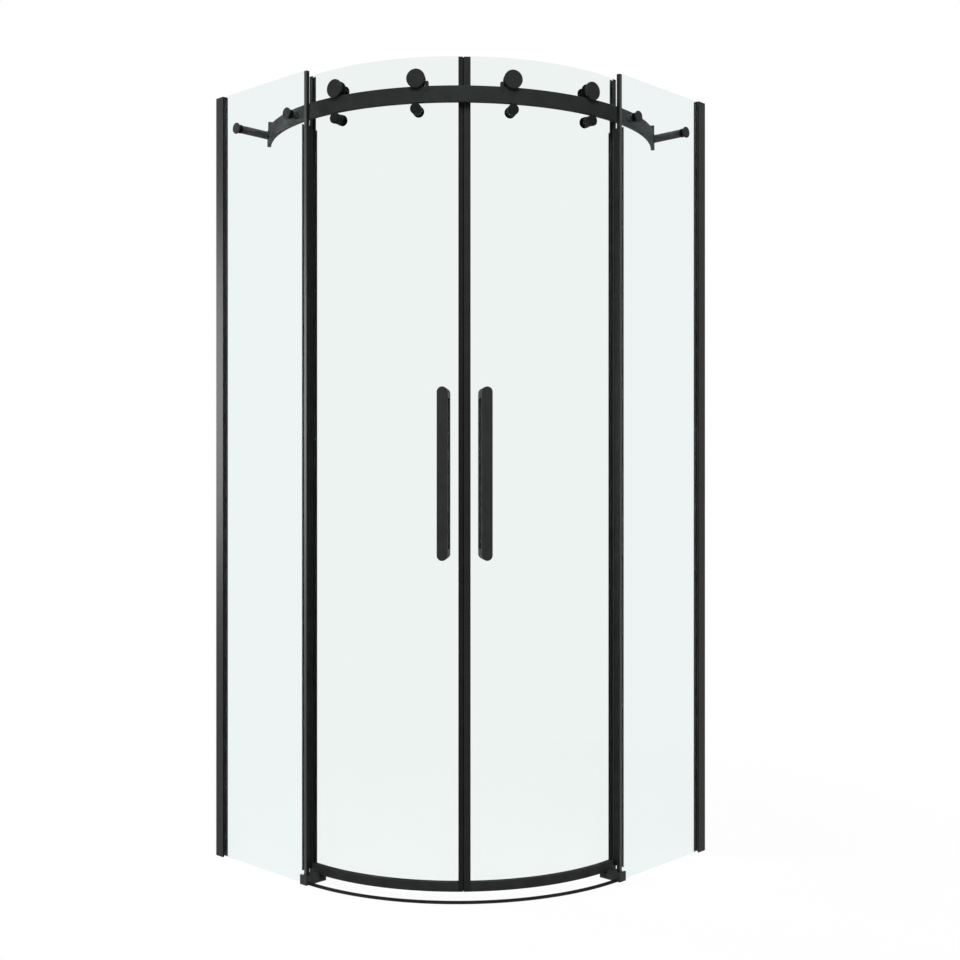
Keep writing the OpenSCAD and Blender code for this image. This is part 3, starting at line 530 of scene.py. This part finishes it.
def powder_coat(name, colour, roughness, specular, variation=0.12):
    """Satin black coat: a fine orange peel, and a gloss that varies a little over the surface."""
    n = Nodes(name)
    n.colour(n.noise(35, 4), *tones(colour, variation))
    n.link(n.spread(n.noise(60, 4), roughness - 0.04, roughness + 0.04), n.shader.inputs["Roughness"])
    coarse = n.bump(n.noise(420, 2), 0.00003, 0.5)
    n.bump(n.noise(2600, 2), 0.000012, 0.6, onto=coarse)
    n.shader.inputs["Specular IOR Level"].default_value = specular
    return n.material


def drawn_metal(name, colour, roughness, specular, stretch=(700, 700, 6), variation=0.1):
    """A drawn profile: faint lines along its length under the coat."""
    n = Nodes(name)
    n.colour(n.noise(30, 4), *tones(colour, variation))
    lines = n.noise(1, 3, stretch)
    n.link(n.spread(lines, roughness - 0.05, roughness + 0.05), n.shader.inputs["Roughness"])
    soft = n.bump(lines, 0.00002, 0.5)
    n.bump(n.noise(1800, 2), 0.000012, 0.5, onto=soft)
    n.shader.inputs["Specular IOR Level"].default_value = specular
    return n.material


# Painted shade: the parts that this darkens stand for shade along a profile's corners and ends.
def paint_shade(material, reach, across_face, colour, specular):
    """Darkens the parts of a profile that lie further from the wall than a reach in millimetres.

    With across_face the painted shade keeps to that distance from the panel's outer face as well. It serves
    both panels, since the larger of X and Y runs along a panel and the smaller one across it.
    """
    n = Nodes.of(material)
    place = n.add("ShaderNodeSeparateXYZ")
    n.link(n.coords.outputs["Object"], place.inputs["Vector"])
    along = n.math("MAXIMUM", place.outputs["X"], place.outputs["Y"])
    painted_shade_mask = n.math("LESS_THAN", along, (WALL - reach) / 1000)
    if across_face:
        face = n.math("MINIMUM", place.outputs["X"], place.outputs["Y"])
        painted_shade_mask = n.math("MULTIPLY", painted_shade_mask, n.math("LESS_THAN", face, (across_face - OUTER_FACE) / 1000))
    n.mix_into("Base Color", painted_shade_mask, (*colour, 1))
    n.mix_into("Specular IOR Level", painted_shade_mask, specular)
    return material


def soft_black(name, colour, roughness=0.75, specular=0.2, grain=900, relief=0.00004):
    """Rubber and moulded plastic: matt, with a fine even grain and a little bloom."""
    n = Nodes(name)
    n.colour(n.noise(22, 5), *tones(colour, 0.2))
    n.link(n.spread(n.noise(90, 4), roughness - 0.08, roughness + 0.08), n.shader.inputs["Roughness"])
    n.bump(n.noise(grain, 3), relief, 0.5)
    n.shader.inputs["Specular IOR Level"].default_value = specular
    return n.material


def steel(name, colour=(0.55, 0.55, 0.56), roughness=0.32):
    """Bare, plated or blackened steel with fine turning marks."""
    n = Nodes(name)
    n.colour(n.noise(220, 3), *tones(colour, 0.08))
    n.link(n.spread(n.noise(500, 3), roughness - 0.08, roughness + 0.1), n.shader.inputs["Roughness"])
    n.bump(n.noise(2400, 2), 0.00001, 0.4)
    n.shader.inputs["Metallic"].default_value = 1.0
    return n.material


def glass(name, tint, mirror):
    """A parallel pane: light goes straight through with a faint tint, and each face is a weak mirror."""
    n = Nodes(name)
    n.shader.inputs["Base Color"].default_value = (*tint, 1)
    n.shader.inputs["Transmission Weight"].default_value = 1.0
    n.shader.inputs["IOR"].default_value = 1.002
    n.shader.inputs["Roughness"].default_value = 0.0
    n.shader.inputs["Coat Weight"].default_value = mirror
    n.shader.inputs["Coat IOR"].default_value = 1.5
    n.link(n.spread(n.noise(6, 3), 0.0, 0.03), n.shader.inputs["Coat Roughness"])
    wave = n.add("ShaderNodeBump")
    wave.inputs["Strength"].default_value = 0.3
    wave.inputs["Distance"].default_value = 0.00004
    n.link(n.noise(1, 1, (2.5, 2.5, 7)), wave.inputs["Height"])
    n.link(wave.outputs["Normal"], n.shader.inputs["Coat Normal"])
    return n.material


RAIL_BLACK = powder_coat("rail_coat", (0.0228, 0.0243, 0.0237), 0.6, 0.06)
HARDWARE_BLACK = powder_coat("hardware_coat", (0.0242, 0.0258, 0.0252), 0.62, 0.04)
# Painted shade: the roller nuts take a far darker copy of the hardware coat, for the shade in which they
# sit.
NUT_SHADED_BLACK = powder_coat("nut_shaded_coat", (0.003, 0.0034, 0.0033), 0.6, 0.02)
HOLDER_BLACK = powder_coat("holder_coat", (0.021, 0.023, 0.0225), 0.55, 0.1)
GUARD_BLACK = powder_coat("guard_coat", (0.0105, 0.0115, 0.0112), 0.66, 0.045)
HANDLE_BLACK = powder_coat("handle_coat", (0.024, 0.0255, 0.025), 0.55, 0.12)
CHANNEL_BLACK = drawn_metal("channel_coat", (0.0125, 0.013, 0.0128), 0.4, 0.16)
# Painted shade: a dark line along the outer corner of each wall channel's open edge, where shade falls.
paint_shade(CHANNEL_BLACK, CHANNEL_W - CHANNEL_EDGE, RUBBER_V1, (0.003, 0.003, 0.003), 0.02)
JAMB_BLACK = drawn_metal("jamb_coat", (0.02, 0.022, 0.021), 0.4, 0.42)
# Painted shade: the jamb's end face next to the door is darkened for the shade that falls there.
paint_shade(JAMB_BLACK, JAMB_END - JAMB_SHADE_WIDTH, None, (0.0075, 0.0085, 0.0082), 0.1)
# Painted shade: the door profiles share one coat, and the left door's copy is darker for the shade on that
# side.
DOOR_BLACK_LEFT_SHADED = {
    "right": drawn_metal("right_door_profile_coat", (0.019, 0.0203, 0.0199), 0.6, 0.07),
    "left": drawn_metal("left_door_profile_shaded_coat", (0.0135, 0.0145, 0.014), 0.6, 0.06),
}
BOTTOM_BLACK = powder_coat("bottom_rail_coat", (0.028, 0.0295, 0.029), 0.6, 0.08)
TRIM_BLACK = soft_black("trim_plastic", (0.016, 0.016, 0.016))
FOOT_METAL = powder_coat("foot_coat", (0.021, 0.0225, 0.022), 0.5, 0.2)
THRESHOLD_METAL = powder_coat("threshold_coat", (0.016, 0.016, 0.016), 0.6, 0.08)
GUIDE_PLASTIC = soft_black("guide_plastic", (0.012, 0.012, 0.012))
RUBBER = soft_black("gasket_rubber", (0.004, 0.0043, 0.0042), 0.8, 0.03)
# Painted light: this rubber is far lighter than the other gaskets, to lift the shade deep inside the
# channel.
CHANNEL_RUBBER_LIGHTENED = soft_black("channel_rubber", (0.026, 0.027, 0.027), 0.75, 0.1, relief=0.000008)
SEAL = soft_black("seal_rubber", (0.0088, 0.0098, 0.0095), 0.7, 0.08, relief=0.000008)
MAGNET = soft_black("magnet_rubber", (0.001, 0.001, 0.001), 0.9, 0.0)
STEEL = steel("zinc_steel")
DARK_STEEL = steel("blackened_steel", (0.03, 0.03, 0.031), 0.45)
BEARING = steel("bearing_steel", (0.12, 0.12, 0.122), 0.3)
NYLON = soft_black("wheel_nylon", (0.006, 0.0066, 0.0064), 0.7, 0.02, 1500)
FIXED_GLASS = glass("fixed_glass", (0.845, 0.902, 0.900), 0.135)
DOOR_GLASS = glass("door_glass", (0.852, 0.897, 0.880), 0.03)

# Glass


def pane(outline, holes, z1, z2):
    """A flat pane with ground corners and edges."""
    return plate(rounded(outline, GLASS_CORNER), z1, z2, holes, edge=GLASS_EDGE)


def glazed(name, shape, node, material):
    """A piece of clear glass, which throws no shadow."""
    obj = piece(name, [shape], node, material)
    obj.visible_shadow = False


def fixed_pane(side):
    """Lower inside the channel, where rubber covers its top, and drilled for the two rail holders."""
    outline = [
        (GLASS_U1, TOP_RUBBER_T - HEIGHT), (CHANNEL_W, TOP_RUBBER_T - HEIGHT), (CHANNEL_W, -HEIGHT),
        (GLASS_U2, -HEIGHT), (GLASS_U2, -FIXED_GLASS_Z), (GLASS_U1, -FIXED_GLASS_Z),
    ]
    holes = [hole(holder_u(a), -HOLDER_Z, HOLDER_HOLE) for a in HOLDER_ANGLES]
    return moved(pane(outline, holes, GLASS_V1, GLASS_V2), PANELS[side] @ turn(-90, "X"))


def door_pane(side):
    """Drawn flat, with its lengths along the middle of the glass, and then bent."""
    near = SEAM[side] + STILE_WEB
    far = math.radians(JAMB_STILE_A) * DOOR_MID + JAMB_STILE_W - JAMB_STILE_END
    drilled = []
    for angle in ROLLER_ANGLES:
        drilled += [(angle, WHEEL_Z, ROLLER_HOLE), (angle, GUARD_Z, GUARD_HOLE)]
    drilled += [(HANDLE_A, z, STUD_HOLE) for z in STUD_HEIGHTS]
    holes = [hole(math.radians(angle) * DOOR_MID, z, diameter) for angle, z, diameter in drilled]
    flat = pane(rectangle(near, DOOR_GLASS_Z, far, HEIGHT), holes, 0, GLASS_T)
    return moved(wrapped(flat, DOOR_IN), FRONTS[side])


for side in PANELS:
    glazed(f"fixed_pane_{side}", fixed_pane(side), f"fixed_glass_{side}", FIXED_GLASS)
for side in FRONTS:
    glazed(f"door_pane_{side}", door_pane(side), f"door_glass_{side}", DOOR_GLASS)

# Rail with rounded edges, and the counterbores of its four screws


def screw_bore(panel, angle):
    """A rail screw's hole, wider from the seat of its head inwards. Both ends lie past the rail."""
    v = holder_v(angle)
    start, seat, end = v - 5, v + RAIL_SEAT, v + 40
    profile = [(0, start), (SHANK_R, start), (SHANK_R, seat), (HEAD_R, seat), (HEAD_R, end), (0, end)]
    mesh = mesh_of("bore", [moved(lathe(profile, 48), panel @ across(holder_u(angle), HOLDER_Z))])
    merge_close(mesh, 1e-7)
    bore = bpy.data.objects.new("bore", mesh)
    scene.collection.objects.link(bore)
    return bore


def cut(obj, cutters):
    """Takes the cutters out of an object and removes them."""
    for cutter in cutters:
        modifier = obj.modifiers.new("cut", "BOOLEAN")
        modifier.operation = "DIFFERENCE"
        modifier.solver = "EXACT"
        modifier.object = cutter
    obj.modifiers.move(0, len(obj.modifiers) - 1)
    graph = bpy.context.evaluated_depsgraph_get()
    mesh = bpy.data.meshes.new_from_object(obj.evaluated_get(graph))
    obj.modifiers.clear()
    obj.data = mesh
    shade(mesh, SHARP)
    even_shading(obj)
    for cutter in cutters:
        bpy.data.objects.remove(cutter)


rail_profile = rounded(rectangle(RAIL_IN, RAIL_Z, RAIL_OUT, RAIL_TOP), RAIL_ROUND)
rail_shape = sweep(rail_profile, -RAIL_A, RAIL_A, ARC_STEP, edge=RAIL_END)
rail = piece("rail", [moved(rail_shape, RIGHT_FRONT)], "curved_rail", RAIL_BLACK)
cut(rail, [screw_bore(panel, angle) for panel in PANELS.values() for angle in HOLDER_ANGLES])

# Bottom rails of the doors, which hold the glass in a groove

bottom_profile = [
    (STILE_IN, DOOR_Z), (STILE_OUT, DOOR_Z), (STILE_OUT, BOTTOM_TOP), (DOOR_OUT, BOTTOM_TOP),
    (DOOR_OUT, DOOR_GLASS_Z), (DOOR_IN, DOOR_GLASS_Z), (DOOR_IN, BOTTOM_TOP), (STILE_IN, BOTTOM_TOP),
]
bottom_start = degrees_of(STILE_FAR, DOOR_MID)
for side, front in FRONTS.items():
    shape = sweep(rounded(bottom_profile, BOTTOM_ROUND), bottom_start, JAMB_STILE_A, ARC_STEP, edge=0)
    piece(f"bottom_channel_{side}", [moved(shape, front)], f"bottom_rail_{side}", BOTTOM_BLACK)

# Threshold strip: a base with low lips, and a ridge along its middle

threshold_profile = [
    (THRESHOLD_IN, 0), (THRESHOLD_OUT, 0), (THRESHOLD_OUT, THRESHOLD_LIP), (RIDGE_OUT, THRESHOLD_BASE),
    (RIDGE_OUT, THRESHOLD_H), (RIDGE_IN, THRESHOLD_H), (RIDGE_IN, THRESHOLD_BASE),
    (THRESHOLD_IN, THRESHOLD_LIP),
]
threshold_profile = rounded(threshold_profile, THRESHOLD_ROUND, steps=2)
shape = sweep(threshold_profile, -THRESHOLD_A, THRESHOLD_A, ARC_STEP, edge=0)
piece("threshold_ridge", [moved(shape, RIGHT_FRONT)], "threshold_strip", THRESHOLD_METAL)

# Glazing rubber of the wall channels, flush with their lips, and over the top edge of the glass


def block(u1, u2, v1, v2, z1, z2):
    return plate(rounded(rectangle(u1, v1, u2, v2), RUBBER_EDGE, steps=2), z1, z2, edge=RUBBER_EDGE)


rubber_end = CHANNEL_W - RUBBER_BACK
rubber = [
    block(GLASS_U1 - GASKET_BASE, GLASS_U1, RUBBER_V1, RUBBER_V2, FIXED_GLASS_Z, CHANNEL_TOP),
    block(GLASS_U1, rubber_end, RUBBER_V1, GLASS_V1, FIXED_GLASS_Z, CHANNEL_TOP),
    block(GLASS_U1, rubber_end, GLASS_V2, RUBBER_V2, FIXED_GLASS_Z, CHANNEL_TOP),
    block(GLASS_U1, CHANNEL_W - TOP_RUBBER_BACK, GLASS_V1, GLASS_V2, HEIGHT - TOP_RUBBER_T, HEIGHT),
]
shapes = [moved(shape, panel) for panel in PANELS.values() for shape in rubber]
piece("channel_rubber", shapes, "channel_gaskets", CHANNEL_RUBBER_LIGHTENED)

# Caps of the rail holders: a turned disc on a narrower rubber collar, and a stud through both. The collar
# runs in black rubber from the disc's back to the glass: partly a real gasket, and partly painted shade
# under the disc

quarter = [math.radians(k * 22.5) for k in range(5)]
disc = [(0, -DISC_T)]
disc += [
    (DISC_R - DISC_ROUND + DISC_ROUND * math.sin(t), DISC_ROUND - DISC_T - DISC_ROUND * math.cos(t))
    for t in quarter
]
disc += [
    (DISC_R, 0), (DISC_R - DISC_CHAMFER, DISC_BACK), (STUD_R, DISC_BACK),
    (STUD_R, STUD_END), (0, STUD_END),
]
collar = [
    (STUD_R, DISC_BACK), (COLLAR_R, DISC_BACK), (COLLAR_R, GLASS_V1), (SLEEVE_R, GLASS_V1),
    (SLEEVE_R, GLASS_V2), (COLLAR_R, GLASS_V2), (COLLAR_R, COLLAR_END), (STUD_R, COLLAR_END),
]
collar += collar[:1]
places = [panel @ across(holder_u(a), HOLDER_Z) for panel in PANELS.values() for a in HOLDER_ANGLES]
piece("holder_discs", [moved(lathe(disc), place) for place in places], "holder_caps", HOLDER_BLACK)
piece("holder_collars", [moved(lathe(collar), place) for place in places], "holder_gaskets", RUBBER)

# The other pieces keep their form, with broken edges


def shorten_lip(seal, front):
    """Draws the end of the seal's inner lip back towards the stile."""
    tip = JAMB_STILE_A - degrees_of(SEAL_LIP, DOOR_MID)
    back = front.inverted()
    draw = front @ turn(degrees_of(SEAL_LIP - SEEN_LIP, DOOR_MID))
    for vertex in seal.data.vertices:
        place = back @ (vertex.co * 1000)
        if math.degrees(math.atan2(place.y, place.x)) < tip + LIP_TIP_A:
            vertex.co = (draw @ place) / 1000


def magnet_face(side):
    """The magnet strip on the edge of the centre stile, a little proud so that the two strips meet."""
    outline = rectangle(MAGNET_IN, DOOR_Z + MAGNET_END, MAGNET_OUT, HEIGHT - STILE_DROP - MAGNET_END)
    near = degrees_of(SEAM[side] - MAGNET_PROUD, DOOR_MID)
    far = degrees_of(SEAM[side] + MAGNET_DEPTH, DOOR_MID)
    shape = sweep(rounded(outline, MAGNET_ROUND), near, far, edge=0)
    piece(f"magnet_face_{side}", [moved(shape, FRONTS[side])], f"magnet_strip_{side}", MAGNET)


for side, front in FRONTS.items():
    eased(f"wall_channel_{side}", CHANNEL_BLACK, edge=CHANNEL_EDGE)
    eased(f"jamb_profile_{side}", JAMB_BLACK, edge=0.3)
    eased(f"foot_block_{side}", FOOT_METAL, edge=0.6)
    eased(f"centre_stile_{side}", DOOR_BLACK_LEFT_SHADED[side], edge=0.5)
    eased(f"jamb_stile_{side}", DOOR_BLACK_LEFT_SHADED[side])
    shorten_lip(eased(f"wing_seal_{side}", SEAL, edge=0.3), front)
    eased(f"handle_outer_{side}", HANDLE_BLACK, edge=1.6, steps=4)
    eased(f"handle_inner_{side}", HANDLE_BLACK, edge=1.6, steps=4)
    eased(f"roller_caps_{side}", HARDWARE_BLACK, edge=0)
    eased(f"roller_nuts_{side}", NUT_SHADED_BLACK, edge=0)
    eased(f"antilift_guards_{side}", GUARD_BLACK, edge=0)
    eased(f"roller_axles_{side}", DARK_STEEL, edge=0.3)
    eased(f"roller_grommets_{side}", RUBBER, edge=0)
    eased(f"handle_gaskets_{side}", RUBBER, edge=0)
    eased(f"handle_studs_{side}", STEEL, edge=0)
    magnet_face(side)
    for place in ("inner", "outer"):
        eased(f"wheel_{side}_{place}", NYLON, edge=0.6, steps=3)
        eased(f"bearing_{side}_{place}", BEARING, edge=0.2)
eased("wall_channel_caps", TRIM_BLACK, edge=0.5)
eased("jamb_caps", TRIM_BLACK, edge=0.3)
eased("door_guides", GUIDE_PLASTIC)
eased("short_rail_holders", HOLDER_BLACK)
eased("long_rail_holders", HOLDER_BLACK)
eased("rail_screws", STEEL, edge=0.2)
eased("rail_stops", HARDWARE_BLACK, edge=0.5)
eased("stop_screws", STEEL, edge=0.2)

# Floor

FLOOR_RADIUS = 14
FLOOR_MATT, SEEN_MATT, SEEN_GLOW = 0.5, 0.055, 0.932
FADE_START, FADE_END = 0.9, 1.6


def seen_by_eyes(tree):
    """1 for camera, glossy and transmission rays, else 0."""
    path = tree.nodes.new("ShaderNodeLightPath")
    total = path.outputs["Is Camera Ray"]
    for name in ("Is Glossy Ray", "Is Transmission Ray"):
        most = tree.nodes.new("ShaderNodeMath")
        most.operation = "MAXIMUM"
        tree.links.new(total, most.inputs[0])
        tree.links.new(path.outputs[name], most.inputs[1])
        total = most.outputs[0]
    return total


def spread(tree, value, low, high, start=0.0, end=1.0):
    """A value between start and end, spread from low to high."""
    node = tree.nodes.new("ShaderNodeMapRange")
    for socket, number in (("From Min", start), ("From Max", end), ("To Min", low), ("To Max", high)):
        node.inputs[socket].default_value = number
    tree.links.new(value, node.inputs["Value"])
    return node.outputs["Result"]


def diffuse(tree, grey):
    node = tree.nodes.new("ShaderNodeBsdfDiffuse")
    node.inputs["Color"].default_value = (grey, grey, grey, 1)
    return node


def pale_floor():
    """Matt floor that takes a faint shadow round the object, and fades to plain white further out."""
    material = bpy.data.materials.new("pale_floor")
    material.use_nodes = True
    tree = material.node_tree
    tree.nodes.clear()
    out = tree.nodes.new("ShaderNodeOutputMaterial")
    near, fade, eyes = (tree.nodes.new(f"ShaderNode{kind}Shader") for kind in ("Add", "Mix", "Mix"))
    matt = diffuse(tree, FLOOR_MATT)
    seen_matt = diffuse(tree, SEEN_MATT)
    glow = tree.nodes.new("ShaderNodeEmission")
    glow.inputs["Strength"].default_value = SEEN_GLOW
    white = tree.nodes.new("ShaderNodeEmission")
    coords = tree.nodes.new("ShaderNodeTexCoord")
    length = tree.nodes.new("ShaderNodeVectorMath")
    length.operation = "LENGTH"
    tree.links.new(coords.outputs["Object"], length.inputs[0])
    far = spread(tree, length.outputs["Value"], 0, 1, FADE_START, FADE_END)
    tree.links.new(seen_matt.outputs[0], near.inputs[0])
    tree.links.new(glow.outputs[0], near.inputs[1])
    tree.links.new(far, fade.inputs[0])
    tree.links.new(near.outputs[0], fade.inputs[1])
    tree.links.new(white.outputs[0], fade.inputs[2])
    tree.links.new(seen_by_eyes(tree), eyes.inputs[0])
    tree.links.new(matt.outputs[0], eyes.inputs[1])
    tree.links.new(fade.outputs[0], eyes.inputs[2])
    tree.links.new(eyes.outputs[0], out.inputs["Surface"])
    return material


floor_mesh = bpy.data.meshes.new("floor")
bm = bmesh.new()
bmesh.ops.create_circle(bm, cap_ends=True, radius=FLOOR_RADIUS, segments=96)
bm.to_mesh(floor_mesh)
bm.free()
floor_mesh.materials.append(pale_floor())
floor = bpy.data.objects.new("floor", floor_mesh)
scene.collection.objects.link(floor)

# World and lamps

LIGHT_OF_WORLD, SEEN_WORLD = 0.3, 1.0

world = bpy.data.worlds.new("studio")
scene.world = world
world.use_nodes = True
tree = world.node_tree
background = tree.nodes["Background"]
background.inputs["Color"].default_value = (1, 1, 1, 1)
tree.links.new(spread(tree, seen_by_eyes(tree), LIGHT_OF_WORLD, SEEN_WORLD), background.inputs["Strength"])


def lamp(name, place, aim, size, power, height=None):
    """An area lamp that faces a point."""
    data = bpy.data.lights.new(name, "AREA")
    data.shape = "RECTANGLE"
    data.size = size
    data.size_y = height or size
    data.energy = power
    obj = bpy.data.objects.new(name, data)
    scene.collection.objects.link(obj)
    obj.location = place
    obj.rotation_euler = (Vector(aim) - Vector(place)).to_track_quat("-Z", "Y").to_euler()


lamp("key", (-2.5, -2.2, 4.4), (0, 0, 0.9), 2.2, 150)
lamp("top", (0.2, 0.2, 4.2), (0, 0, 0), 2.6, 50)
lamp("profile_light", (-1.45, 2.75, 1.33), (-0.45, 0.2, 1.23), 0.6, 56, 1.3)
